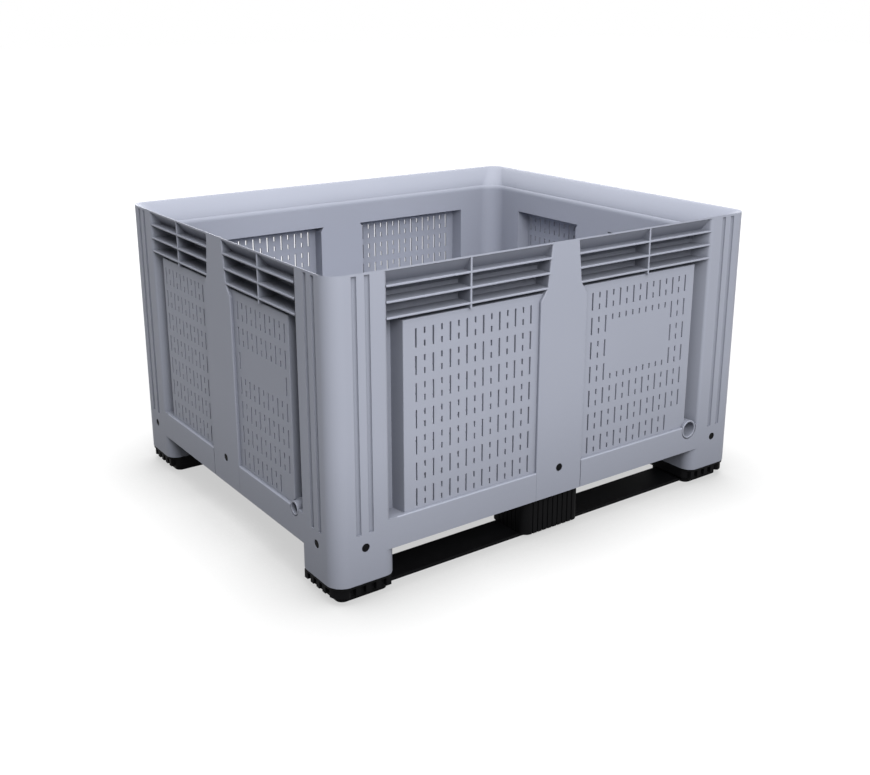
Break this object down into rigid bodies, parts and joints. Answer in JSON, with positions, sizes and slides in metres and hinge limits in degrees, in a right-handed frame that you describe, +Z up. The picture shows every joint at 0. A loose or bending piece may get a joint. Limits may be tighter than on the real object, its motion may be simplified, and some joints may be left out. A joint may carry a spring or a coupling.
{
  "type": "fruit bin",
  "caption": "Open-topped stackable harvest bin with slotted vent walls, a ribbed flared rim, hollow corner posts, drain tubes and two black ground runners.",
  "frame": {"origin": "on the ground, under the middle of the bin", "axes": "+X along the long faces, +Y along the short faces away from the front face, +Z up"},
  "size_m": [1.2, 1, 0.7],
  "materials": {
    "body_plastic": "injection-moulded grey polyethylene with a fine satin surface",
    "runner_plastic": "black recycled polyethylene, slightly coarse"
  },
  "bodies": {
    "root": {"front_rib_band": "body_plastic", "front_pillar": "body_plastic", "front_left_lower_band": "body_plastic", "front_right_lower_band": "body_plastic", "front_left_vent_panel": "body_plastic", "front_right_vent_panel": "body_plastic", "front_drain": "body_plastic", "right_rib_band": "body_plastic", "right_pillar": "body_plastic", "right_left_lower_band": "body_plastic", "right_right_lower_band": "body_plastic", "right_left_vent_panel": "body_plastic", "right_right_vent_panel": "body_plastic", "right_drain": "body_plastic", "rear_rib_band": "body_plastic", "rear_pillar": "body_plastic", "rear_left_lower_band": "body_plastic", "rear_right_lower_band": "body_plastic", "rear_left_vent_panel": "body_plastic", "rear_right_vent_panel": "body_plastic", "rear_drain": "body_plastic", "left_rib_band": "body_plastic", "left_pillar": "body_plastic", "left_left_lower_band": "body_plastic", "left_right_lower_band": "body_plastic", "left_left_vent_panel": "body_plastic", "left_right_vent_panel": "body_plastic", "left_drain": "body_plastic", "front_left_post": "body_plastic", "front_left_leg": "body_plastic", "front_right_post": "body_plastic", "front_right_leg": "body_plastic", "rear_right_post": "body_plastic", "rear_right_leg": "body_plastic", "rear_left_post": "body_plastic", "rear_left_leg": "body_plastic", "floor_deck": "body_plastic", "front_runner": "runner_plastic", "rear_runner": "runner_plastic", "corner_pins": "runner_plastic", "middle_pins": "runner_plastic"}
  },
  "joints": []
}
